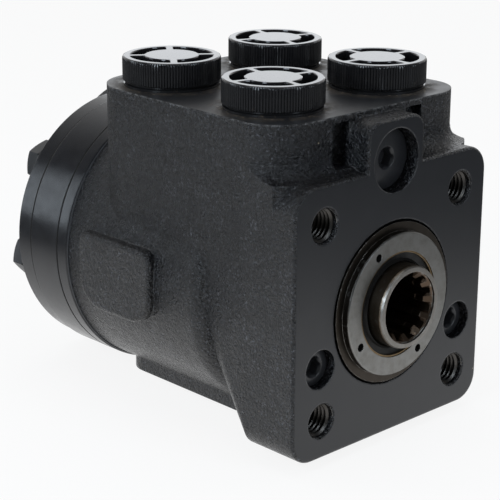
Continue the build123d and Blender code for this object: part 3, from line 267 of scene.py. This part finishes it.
class Look(Nodes):
    """A material with its shader and the measures that its pattern is made from."""

    def __init__(self, name, **surface):
        self.material = bpy.data.materials.new(name)
        self.material.use_nodes = True
        super().__init__(self.material.node_tree)
        self.shader = self.tree.nodes["Principled BSDF"]
        self.coords = self.tree.nodes.new("ShaderNodeTexCoord")
        self.place = self.coords.outputs["Object"]
        for socket, value in surface.items():
            self.finish(socket, value)

    def finish(self, socket, value):
        self.set(self.shader, socket, value)

    def noise(self, scale, detail=2.0, roughness=0.55, place=None):
        """Noise whose grains are 1/scale metres across."""
        inputs = {"Vector": place or self.place, "Scale": scale, "Detail": detail, "Roughness": roughness}
        return self.add("TexNoise", inputs).outputs["Fac"]

    def span(self, value, low, high, to_low=0.0, to_high=1.0):
        """Clamped linear remap."""
        inputs = {"Value": value, "From Min": low, "From Max": high, "To Min": to_low, "To Max": to_high}
        return self.add("MapRange", inputs).outputs["Result"]

    def band(self, value, low, high, fade):
        """1 between two limits, with a fade across each."""
        rise = self.span(value, low - fade, low + fade)
        fall = self.span(value, high + fade, high - fade)
        return self.times(rise, fall)

    def mix(self, factor, first, second, how="MIX"):
        """Mix of two colours."""
        node = self.add("Mix", {}, data_type="RGBA", blend_type=how)
        self.set(node, 0, factor)
        self.set(node, 6, first)
        self.set(node, 7, second)
        return node.outputs[2]

    def split(self, vector):
        return self.add("SeparateXYZ", {"Vector": vector}).outputs

    def join(self, x, y, z=0.0):
        return self.add("CombineXYZ", {"X": x, "Y": y, "Z": z}).outputs[0]

    def length(self, vector):
        return self.add("VectorMath", {0: vector}, operation="LENGTH").outputs["Value"]

    def bump(self, height, distance, strength=1.0, normal=None):
        inputs = {"Height": height, "Distance": distance, "Strength": strength}
        if normal is not None:
            inputs["Normal"] = normal
        return self.add("Bump", inputs).outputs["Normal"]

    def round_edges(self, radius):
        """Normal that turns smoothly over sharp edges."""
        return self.add("Bevel", {"Radius": radius}, samples=6).outputs["Normal"]

    def edge_mask(self, rounded, gain=0.3):
        """1 on sharp edges, 0 on open faces."""
        flat = self.add("NewGeometry", {}).outputs["Normal"]
        dot = self.add("VectorMath", {0: rounded, 1: flat}, operation="DOT_PRODUCT").outputs["Value"]
        return self.span(dot, 1.0, 1.0 - gain)

    def specks(self, scale, size, share):
        """Sparse round specks: cells of 1/scale metres, a share of them marked."""
        cells = self.add("TexVoronoi", {"Vector": self.place, "Scale": scale})
        near = self.span(cells.outputs["Distance"], size, size * 0.6)
        chosen = self.calc("GREATER_THAN", self.split(cells.outputs["Color"])[0], 1.0 - share)
        return self.times(near, chosen)


# === materials ==================================================================================
def machined_faces(look):
    """Masks of the casting's two machined faces, front and top, and of all that is level with the top."""
    place = look.split(look.place)
    normal = look.split(look.coords.outputs["Normal"])
    in_front = look.calc("LESS_THAN", place[1], FACE_TOLERANCE * MM)
    level_with_top = look.calc("GREATER_THAN", place[2], (TOP_FACE_Z - FACE_TOLERANCE) * MM)
    front = look.times(look.calc("LESS_THAN", normal[1], -SQUARE_ON), in_front)
    top = look.times(look.calc("GREATER_THAN", normal[2], SQUARE_ON), level_with_top)
    return front, top, level_with_top


def near_caps(look, top):
    """1 on the top face at the foot of each cap, fading out round it."""
    x, y, z = look.split(look.place)
    across = look.calc("SUBTRACT", look.calc("ABSOLUTE", x), PORTS_HALF.x * MM)
    off_middle = look.calc("ABSOLUTE", look.calc("SUBTRACT", y, PORTS_MIDDLE.y * MM))
    along = look.calc("SUBTRACT", off_middle, PORTS_HALF.y * MM)
    away = look.length(look.join(across, along))
    return look.times(look.span(away, GRIME_END_R * MM, GRIME_START_R * MM), top)


def casting_look():
    """Black paint over a sand casting, smooth on its two machined faces."""
    look = Look("painted_casting", IOR=PAINT_IOR)
    front, top, level_with_top = machined_faces(look)
    smooth = look.calc("MAXIMUM", top, front)
    cast = look.calc("SUBTRACT", 1.0, smooth)

    # leathery sand grain over the slow waviness of the mould, orange peel on the smooth faces
    rounded = look.round_edges(0.7 * MM)
    dents = look.span(look.noise(420, 2.0, 0.5), 0.3, 0.7)
    grain = look.span(look.noise(1250, 2.5, 0.6), 0.32, 0.68)
    peel = look.noise(1700, 2.0)
    surface = look.bump(dents, 0.16 * MM, cast, rounded)
    surface = look.bump(grain, 0.30 * MM, cast, surface)
    look.finish("Normal", look.bump(peel, 0.008 * MM, smooth, surface))

    # paint, with a painted highlight: the grain's crests paler and bluish in patches, as where they catch the
    # light
    base = look.mix(look.span(look.noise(130, 4.0), 0.35, 0.7), PAINT_DARK, PAINT_LIGHT)
    lit_crests = look.times(look.span(look.noise(1400, 4.0, 0.7), 0.585, 0.635), cast)
    patches = look.span(look.noise(70, 3.0), 0.38, 0.64, 0.35, 1.0)
    base = look.mix(look.times(lit_crests, patches, 0.85), base, CREST_HIGHLIGHT)
    base = look.mix(smooth, base, MACHINED_PAINT)

    # rubbed corners: sharp ones by the bevel, the filleted top edge by its height
    near_top = look.span(look.split(look.place)[2], (TOP_FACE_Z - 0.6) * MM, (TOP_FACE_Z - 0.2) * MM)
    top_edge = look.times(near_top, look.calc("SUBTRACT", 1.0, level_with_top))
    rubbed = look.calc("MAXIMUM", look.edge_mask(rounded), top_edge)
    scuffs = look.span(look.noise(620, 3.0), 0.42, 0.6)
    base = look.mix(look.times(rubbed, scuffs, 0.75), base, RUBBED_PAINT)

    # oily dirt and crumbs at the foot of each cap, and lint all over
    cap_foot = near_caps(look, top)
    grime = look.times(cap_foot, look.span(look.noise(260, 5.0, 0.7), 0.40, 0.55))
    base = look.mix(look.times(grime, 0.8), base, OILY_GRIME)
    crumbs = look.times(cap_foot, look.specks(700, 0.34, 0.45))
    base = look.mix(look.times(crumbs, 0.8), base, CRUMBS)
    look.finish("Base Color", look.mix(look.specks(170, 0.05, 0.3), base, LINT))

    cast_rough = look.span(look.noise(300, 3.0), 0.3, 0.7, 0.20, 0.34)
    smooth_rough = look.span(look.noise(140, 4.0), 0.3, 0.7, 0.28, 0.35)
    rough = look.calc("ADD", look.times(cast_rough, cast), look.times(smooth_rough, smooth))
    rough = look.calc("ADD", rough, look.times(top, 0.1))
    look.finish("Roughness", look.calc("ADD", rough, look.times(grime, 0.35)))
    return look.material


def satin_paint_look(name, shade, low_rough, high_rough):
    """Smooth black paint over turned steel, with the faint rings of turning."""
    look = Look(name, IOR=PAINT_IOR)
    rounded = look.round_edges(0.35 * MM)
    x, y, z = look.split(look.place)
    turned = look.join(look.times(y, 2600.0), look.times(x, 30.0), look.times(z, 30.0))
    normal = look.bump(look.noise(1.0, 2.0, 0.6, turned), 0.010 * MM, 1.0, rounded)
    look.finish("Normal", look.bump(look.noise(1500, 2.0), 0.018 * MM, 1.0, normal))
    lighter = tuple(1.5 * part for part in shade)
    base = look.mix(look.span(look.noise(90, 4.0), 0.35, 0.7), shade, lighter)
    rubbed = look.times(look.edge_mask(rounded), look.span(look.noise(900), 0.4, 0.6))
    base = look.mix(rubbed, base, (0.07, 0.07, 0.072))
    look.finish("Base Color", look.mix(look.specks(110, 0.035, 0.2), base, (0.2, 0.17, 0.13)))
    look.finish("Roughness", look.span(look.noise(260, 3.0), 0.3, 0.7, low_rough, high_rough))
    return look.material


def steel_look(name, shade, low_rough, high_rough, zones=()):
    """Bare turned steel with an oily film: rings round the spool's axis, stains, and darker zones, some of
    them painted shade.
    """
    look = Look(name, Metallic=1.0)
    rounded = look.round_edges(0.2 * MM)
    x, y, z = look.split(look.place)
    radius = look.length(look.join(x, z))
    turned = look.join(look.times(radius, 6000.0), look.times(y, 5000.0))
    look.finish("Normal", look.bump(look.noise(1.0, 3.0, 0.7, turned), 0.006 * MM, 1.0, rounded))

    # zones of other shade and roughness with a wavering edge; those deep in the bore and in the gland are
    # painted shade
    base = shade
    rough = look.span(look.noise(700, 3.0), 0.3, 0.7, low_rough, high_rough)
    wobble = look.span(look.noise(500, 3.0), 0.3, 0.7, -0.3 * MM, 0.3 * MM)
    reach = look.calc("ADD", radius, wobble)
    for inner, outer, front, rear, zone_shade, zone_rough in zones:
        around = look.band(reach, inner * MM, outer * MM, ZONE_RADIUS_FADE * MM)
        depth = look.band(y, front * MM, rear * MM, ZONE_DEPTH_FADE * MM)
        zone = look.times(around, depth)
        base = look.mix(zone, base, zone_shade)
        rough = look.calc("ADD", rough, look.times(zone, look.calc("SUBTRACT", zone_rough, rough)))
    look.finish("Roughness", rough)

    # stains, and edges rubbed bright
    stains = look.span(look.noise(320, 5.0, 0.65), 0.42, 0.68)
    stained = look.mix(stains, (1.0, 1.0, 1.0), (0.8, 0.785, 0.76))
    base = look.mix(1.0, base, stained, "MULTIPLY")
    rubbed = look.times(look.edge_mask(rounded), look.span(look.noise(450), 0.35, 0.6), 0.55)
    look.finish("Base Color", look.mix(rubbed, base, (0.62, 0.6, 0.57)))
    return look.material


def rubber_look():
    look = Look("nitrile", IOR=1.35)
    look.finish("Base Color", look.mix(look.noise(600, 3.0), (0.003, 0.003, 0.003), (0.008, 0.007, 0.006)))
    look.finish("Roughness", look.span(look.noise(400), 0.3, 0.7, 0.4, 0.6))
    look.finish("Normal", look.bump(look.noise(2500), 0.012 * MM))
    return look.material


def seam_look():
    """The dark oily line between two ground faces."""
    look = Look("seam_black", IOR=1.3)
    look.finish("Base Color", look.mix(look.noise(500, 3.0), (0.002, 0.002, 0.002), (0.012, 0.010, 0.008)))
    look.finish("Roughness", look.span(look.noise(600), 0.3, 0.7, 0.75, 0.95))
    return look.material


def cap_look():
    """Glossy black moulded plastic with a little dust, most of it low down in the flutes."""
    look = Look("cap_plastic", IOR=1.5)
    height = look.split(look.place)[2]
    low_down = look.span(height, (TOP_FACE_Z + 4.5) * MM, TOP_FACE_Z * MM, 0.08, 0.75)
    dust = look.times(look.span(look.noise(420, 5.0, 0.7), 0.58, 0.8), low_down)
    look.finish("Base Color", look.mix(dust, (0.010, 0.010, 0.0108), (0.085, 0.066, 0.048)))
    look.finish("Roughness", look.span(look.noise(500, 3.0), 0.3, 0.75, 0.07, 0.14))
    look.finish("Normal", look.bump(look.noise(900, 2.0), 0.005 * MM))
    return look.material


looks = {
    "painted_casting": casting_look(),
    "painted_steel": satin_paint_look("painted_steel", (0.0066, 0.0070, 0.0086), 0.16, 0.27),
    "worn_paint": satin_paint_look("worn_paint", (0.022, 0.023, 0.026), 0.30, 0.42),
    "plug_steel": satin_paint_look("plug_steel", (0.012, 0.0124, 0.014), 0.28, 0.4),
    "bolt_steel": satin_paint_look("bolt_steel", (0.009, 0.0092, 0.0105), 0.32, 0.45),
    "gland_steel": steel_look("gland_steel", (0.22, 0.219, 0.211), 0.32, 0.42, GLAND_ZONES),
    "ground_steel": steel_look("ground_steel", (0.33, 0.32, 0.31), 0.2, 0.35),
    "spool_steel": steel_look("spool_steel", (0.25, 0.24, 0.225), 0.30, 0.45, SPOOL_ZONES),
    "spring_steel": steel_look("spring_steel", (0.26, 0.26, 0.27), 0.3, 0.4),
    "seal_brass": steel_look("seal_brass", (0.22, 0.155, 0.085), 0.35, 0.5),
    "nitrile": rubber_look(),
    "seam_black": seam_look(),
    "cap_plastic": cap_look(),
}
for subpart in frame["record"]["subparts"]:
    node = frame["nodes"][subpart["node"]]
    node.data.materials.clear()
    node.data.materials.append(looks[subpart["material_slot"]])


# === pieces =====================================================================================
def linked(name, data):
    """A new object in the scene."""
    made = bpy.data.objects.new(name, data)
    bpy.context.scene.collection.objects.link(made)
    return made


def piece(name, mesh, look, sharp, body="housing"):
    """A smooth-shaded mesh with its look, which rides on a body."""
    mesh.materials.append(looks[look])
    mesh.shade_smooth()
    mesh.set_sharp_from_angle(angle=radians(sharp))
    made = linked(name, mesh)
    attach(made, body)
    return made


def turned_point(radius, angle, y, x=0.0, z=0.0):
    """A point round an axis parallel to Y, in metres."""
    return ((x + radius * cos(angle)) * MM, y * MM, (z + radius * sin(angle)) * MM)


def round_pairs(loop):
    """Each point of a loop with the one after it."""
    return zip(loop, loop[1:] + loop[:1])


def rings_mesh(name, rings, closed):
    """A stack of rings with as many points each, joined in order; closed joins the last to the first."""
    count = len(rings[0])
    faces = []
    for low in range(len(rings) if closed else len(rings) - 1):
        high = (low + 1) % len(rings)
        for step in range(count):
            after = (step + 1) % count
            low_side = (low * count + step, low * count + after)
            high_side = (high * count + after, high * count + step)
            faces.append(low_side + high_side)
    if not closed:
        faces.append(tuple(reversed(range(count))))
        faces.append(tuple((len(rings) - 1) * count + step for step in range(count)))
    mesh = bpy.data.meshes.new(name)
    mesh.from_pydata([point for ring in rings for point in ring], [], faces)
    return mesh


def seam_ring(name, y, radius, half_width, look):
    """Shallow crowned band round a joint between two stacked plates."""
    foot, shoulder = radius - SEAM_DEPTH, radius - SEAM_CROWN
    outline = (
        (foot, half_width), (shoulder, half_width), (radius, SEAM_FLAT * half_width),
        (radius, -SEAM_FLAT * half_width), (shoulder, -half_width), (foot, -half_width),
    )
    rings = []
    for step in range(SEAM_STEPS):
        angle = 2 * pi * step / SEAM_STEPS
        rings.append([turned_point(reach, angle, y + shift) for reach, shift in outline])
    piece(name, rings_mesh(name, rings, True), look, 40.0)


def thread(name, x, z):
    """Internal screw thread: a V ridge that winds along a bore parallel to Y."""
    steps = THREAD_TURNS * THREAD_STEPS
    fade_steps = THREAD_FADE_TURNS * THREAD_STEPS
    rings = []
    for step in range(steps + 1):
        angle = 2 * pi * step / THREAD_STEPS
        y = THREAD_START_Y + THREAD_PITCH * step / THREAD_STEPS
        fade = min(1.0, step / fade_steps, (steps - step) / fade_steps)
        crest = THREAD_ROOT_R - (THREAD_ROOT_R - THREAD_CREST_R) * fade
        outline = (
            (THREAD_ROOT_R, -THREAD_ROOT_HALF), (crest, -THREAD_CREST_HALF),
            (crest, THREAD_CREST_HALF), (THREAD_ROOT_R, THREAD_ROOT_HALF),
        )
        rings.append([turned_point(radius, angle, y + shift, x, z) for radius, shift in outline])
    piece(name, rings_mesh(name, rings, False), "gland_steel", 25.0)


def socket_plug(node_name, face_y, flats):
    """Screw plug with a chamfered face and a hex socket, in a plug node's place."""
    low, high = box_mm(node_name)
    middle = (low + high) / 2
    body_r = (high.z - low.z) / 2
    mouth_r = flats / 2 * SOCKET_MOUTH
    turned_steps = (
        (body_r, high.y), (body_r, face_y + PLUG_CHAMFER), (body_r - 0.15, face_y + 0.25),
        (body_r - PLUG_CHAMFER, face_y), (mouth_r + 0.25, face_y), (mouth_r, face_y + 0.18),
    )
    angles = [2 * pi * step / PLUG_STEPS for step in range(PLUG_STEPS)]
    hexagon = [flats / 2 / cos(angle % (pi / 3) - pi / 6) for angle in angles]
    outlines = [([radius] * PLUG_STEPS, y) for radius, y in turned_steps]
    outlines += [(hexagon, face_y + SOCKET_CHAMFER_END), (hexagon, face_y + SOCKET_DEPTH)]
    rings = []
    for reaches, y in outlines:
        rings.append([turned_point(r, a, y, middle.x, middle.z) for r, a in zip(reaches, angles)])
    name = "socket_" + node_name
    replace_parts(piece(name, rings_mesh(name, rings, False), "plug_steel", 35.0), node_name)


def spline_mouth(name):
    """The front of the input spline's teeth, with their lead-in chamfer."""
    chamfer_end_y = SPLINE_MOUTH_Y + SPLINE_ROOT_R - SPLINE_TIP_R
    rings = []
    for y, root, tip in (
        (SPLINE_MOUTH_Y - SPLINE_LEAD, SPLINE_WALL_R, SPLINE_WALL_R),
        (SPLINE_MOUTH_Y, SPLINE_ROOT_R, SPLINE_ROOT_R),
        (chamfer_end_y, SPLINE_ROOT_R, SPLINE_TIP_R),
        (SPLINE_MOUTH_END_Y, SPLINE_ROOT_R, SPLINE_TIP_R),
        (SPLINE_MOUTH_END_Y, SPLINE_WALL_R, SPLINE_WALL_R),
    ):
        ring = []
        for tooth in range(SPLINE_TEETH):
            for turn, inward in SPLINE_COLUMNS:
                angle = radians(360 * tooth / SPLINE_TEETH + turn)
                ring.append(turned_point(root + (tip - root) * inward, angle, y))
        rings.append(ring)
    piece(name, rings_mesh(name, rings, True), "spool_steel", 20.0, body="spool")


def blended_spring(node_name, far_body, moving_coil):
    """A valve spring's own mesh, copied in place of its CAD node."""
    spring = linked("coiled_" + node_name, frame["nodes"][node_name].data.copy())
    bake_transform(spring)
    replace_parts(spring, node_name)


def well_outline(index, spin, inset):
    """Plan outline of one well in a cap: between two spokes, the hub and the rim."""
    half = CAP_SPOKE_W / 2 - inset
    inner = (CAP_HUB_R - inset, range(WELL_STEPS, -1, -1))
    outer = (CAP_R - CAP_RIM_W + inset, range(WELL_STEPS + 1))
    outline = []
    for radius, order in (outer, inner):
        edge = asin(half / radius)
        for step in order:
            angle = edge + (pi / 2 - 2 * edge) * step / WELL_STEPS
            outline.append(Vector((radius * cos(angle), radius * sin(angle))))
    # two corner-cutting passes round the corners
    for _ in range(2):
        cut = []
        for here, after in round_pairs(outline):
            cut.append(here.lerp(after, 0.25))
            cut.append(here.lerp(after, 0.75))
        outline = cut
    turn = Matrix.Rotation(radians(spin) + index * 2 * pi / CAP_SPOKES, 2)
    return [turn @ point for point in outline]


def skin(builder, loops):
    """Faces between loops with as many points each, joined in order."""
    for low, high in zip(loops, loops[1:]):
        for (low_here, low_after), (high_here, high_after) in zip(round_pairs(low), round_pairs(high)):
            builder.faces.new((low_here, low_after, high_after, high_here))


def fluted_skirt(builder):
    """Base, neck, fluted skirt and rounded rim of a cap; returns its loops from the foot up."""
    skirt_z = CAP_TOP_Z - CAP_SKIRT_H
    # radius, height and share of the flutes' depth
    profile = (
        (CAP_BASE_R, TOP_FACE_Z, 0), (CAP_BASE_R, TOP_FACE_Z + CAP_BASE_T, 0),
        (CAP_NECK_R, TOP_FACE_Z + CAP_NECK_FOOT, 0), (CAP_NECK_R, skirt_z + 0.35, 0),
        (CAP_R - 0.25, skirt_z, 0.4), (CAP_R, skirt_z + 0.3, 1), (CAP_R, CAP_TOP_Z - 0.95, 1),
        (CAP_R - 0.08, CAP_TOP_Z - 0.5, 0.6), (CAP_R - 0.22, CAP_TOP_Z - 0.2, 0.1),
        (CAP_R - 0.55, CAP_TOP_Z, 0),
    )
    columns = FLUTES * FLUTE_STEPS
    loops = []
    for radius, z, fluted in profile:
        loop = []
        for column in range(columns):
            angle = 2 * pi * column / columns
            groove = max(0.0, -cos(2 * pi * column / FLUTE_STEPS)) ** FLUTE_SHARPNESS
            reach = radius - FLUTE_DEPTH * fluted * groove
            loop.append(builder.verts.new((reach * cos(angle), reach * sin(angle), z)))
        loops.append(loop)
    skin(builder, loops)
    builder.faces.new(list(reversed(loops[0])))
    return loops


def cap_well(builder, index, spin):
    """Floor, walls and rounded mouth of one well in a cap; returns its loops from the floor up."""
    loops = []
    for inset, depth in ((0.0, CAP_WELL_DEPTH), (0.0, CAP_EDGE), (0.1, 0.1), (CAP_EDGE, 0.0)):
        outline = well_outline(index, spin, inset)
        loops.append([builder.verts.new((point.x, point.y, CAP_TOP_Z - depth)) for point in outline])
    skin(builder, loops)
    builder.faces.new(loops[0])
    return loops


def fluted_cap(node_name, spin):
    """Screwed transport cap: fluted skirt, rim, hub and four spokes over open wells."""
    builder = bmesh.new()
    top_loops = [fluted_skirt(builder)[-1]]
    top_loops += [cap_well(builder, index, spin)[-1] for index in range(CAP_SPOKES)]
    top_edges = [builder.edges.get(pair) for loop in top_loops for pair in round_pairs(loop)]
    bmesh.ops.triangle_fill(builder, edges=top_edges, use_beauty=True, use_dissolve=False)
    bmesh.ops.recalc_face_normals(builder, faces=builder.faces)
    middle = middle_mm(node_name)
    bmesh.ops.translate(builder, vec=(middle.x, middle.y, 0), verts=builder.verts)
    bmesh.ops.scale(builder, vec=(MM, MM, MM), verts=builder.verts)
    name = "fluted_" + node_name
    mesh = bpy.data.meshes.new(name)
    builder.to_mesh(mesh)
    builder.free()
    made = piece(name, mesh, "cap_plastic", 12.0)
    # the wide top faces stay flat
    for polygon in mesh.polygons:
        polygon.use_smooth = polygon.normal.z < 0.999
    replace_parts(made, node_name)


for seam_name, seam_sizes in SEAMS.items():
    seam_ring(seam_name, *seam_sizes)
for spring_name, spring_ends in SPRINGS.items():
    blended_spring(spring_name, *spring_ends)
for plug_name, plug_sizes in PLUGS.items():
    socket_plug(plug_name, *plug_sizes)
spline_mouth("spline_mouth")
for cap_name, cap_spin in CAP_SPINS.items():
    fluted_cap(cap_name, cap_spin)
for side, side_word in ((-0.5, "left"), (0.5, "right")):
    for level, level_word in ((-0.5, "lower"), (0.5, "upper")):
        thread(f"{side_word}_{level_word}_thread", side * COLUMN_HOLE_PITCH, level * COLUMN_HOLE_PITCH)


# === stage, lamps and camera ====================================================================
def soft_lamp(name, place, aim, size, watts, tint):
    data = bpy.data.lights.new(name, "AREA")
    data.shape = "RECTANGLE"
    data.size, data.size_y = size
    data.energy = watts
    data.color = tint
    lamp = linked(name, data)
    lamp.location = place
    lamp.rotation_euler = (Vector(aim) - Vector(place)).to_track_quat("-Z", "Y").to_euler()


def seen_pale(nodes, rays):
    """1 for camera, mirror and glass rays, which all see the pale background."""
    mirrored = nodes.calc("MAXIMUM", rays["Is Camera Ray"], rays["Is Glossy Ray"])
    return nodes.calc("MAXIMUM", mirrored, rays["Is Transmission Ray"])


def level_by(nodes, rays, value, fade):
    """Brightness that follows a value in reflections and is 1 straight to the camera."""
    level = nodes.add("MapRange", {"Value": value, **fade}, interpolation_type="SMOOTHSTEP")
    return nodes.calc("MAXIMUM", level.outputs["Result"], rays["Is Camera Ray"])


def white_floor():
    """White floor that keeps a faint shadow; its reflection fades away from the object."""
    mesh = bpy.data.meshes.new("floor")
    corners = [(x * FLOOR_HALF, y * FLOOR_HALF, FLOOR_Z) for x, y in ((-1, -1), (1, -1), (1, 1), (-1, 1))]
    mesh.from_pydata(corners, [], [(0, 1, 2, 3)])
    linked("floor", mesh)
    material = bpy.data.materials.new("floor_white")
    material.use_nodes = True
    mesh.materials.append(material)
    nodes = Nodes(material.node_tree)
    nodes.tree.nodes.clear()
    rays = nodes.add("LightPath", {}).outputs
    place = nodes.add("NewGeometry", {}).outputs["Position"]
    away = nodes.add("VectorMath", {0: place, 1: FLOOR_MIDDLE}, operation="DISTANCE").outputs["Value"]
    matte = nodes.add("BsdfDiffuse", {"Color": FLOOR_SHADE}).outputs[0]
    glow = nodes.add("Emission", {"Strength": level_by(nodes, rays, away, FLOOR_FADE)}).outputs[0]
    share = nodes.times(seen_pale(nodes, rays), FLOOR_GLOW_SHARE)
    mixed = nodes.add("MixShader", {0: share, 1: matte, 2: glow}).outputs[0]
    nodes.add("OutputMaterial", {"Surface": mixed})


def studio_room():
    """White behind the object and greyer in front in reflections, with an even dome of light."""
    world = bpy.data.worlds.new("studio")
    bpy.context.scene.world = world
    world.use_nodes = True
    nodes = Nodes(world.node_tree)
    nodes.tree.nodes.clear()
    rays = nodes.add("LightPath", {}).outputs
    direction = nodes.add("TexCoord", {}).outputs["Generated"]
    facing = nodes.add("VectorMath", {0: direction, 1: CAMERA_BACK}, operation="DOT_PRODUCT").outputs["Value"]
    level = level_by(nodes, rays, facing, ROOM_FADE)
    backdrop = nodes.add("Background", {"Color": (1.0, 1.0, 1.0), "Strength": level}).outputs[0]
    dome = nodes.add("Background", {"Color": DOME_SHADE, "Strength": DOME_STRENGTH}).outputs[0]
    mixed = nodes.add("MixShader", {0: seen_pale(nodes, rays), 1: dome, 2: backdrop}).outputs[0]
    nodes.add("OutputWorld", {"Surface": mixed})


def photo_camera():
    data = bpy.data.cameras.new("camera")
    data.lens = CAMERA_LENS
    data.sensor_width = CAMERA_SENSOR
    data.clip_start, data.clip_end = 0.01, 20.0
    camera = linked("camera", data)
    turn = Matrix((CAMERA_RIGHT, CAMERA_UP, CAMERA_BACK)).transposed().to_4x4()
    camera.matrix_world = Matrix.Translation(CAMERA_PLACE) @ turn
    bpy.context.scene.camera = camera


white_floor()
studio_room()
for lamp_name, lamp_setup in LAMPS.items():
    soft_lamp(lamp_name, *lamp_setup)
photo_camera()
bpy.context.scene.view_settings.view_transform = "Standard"
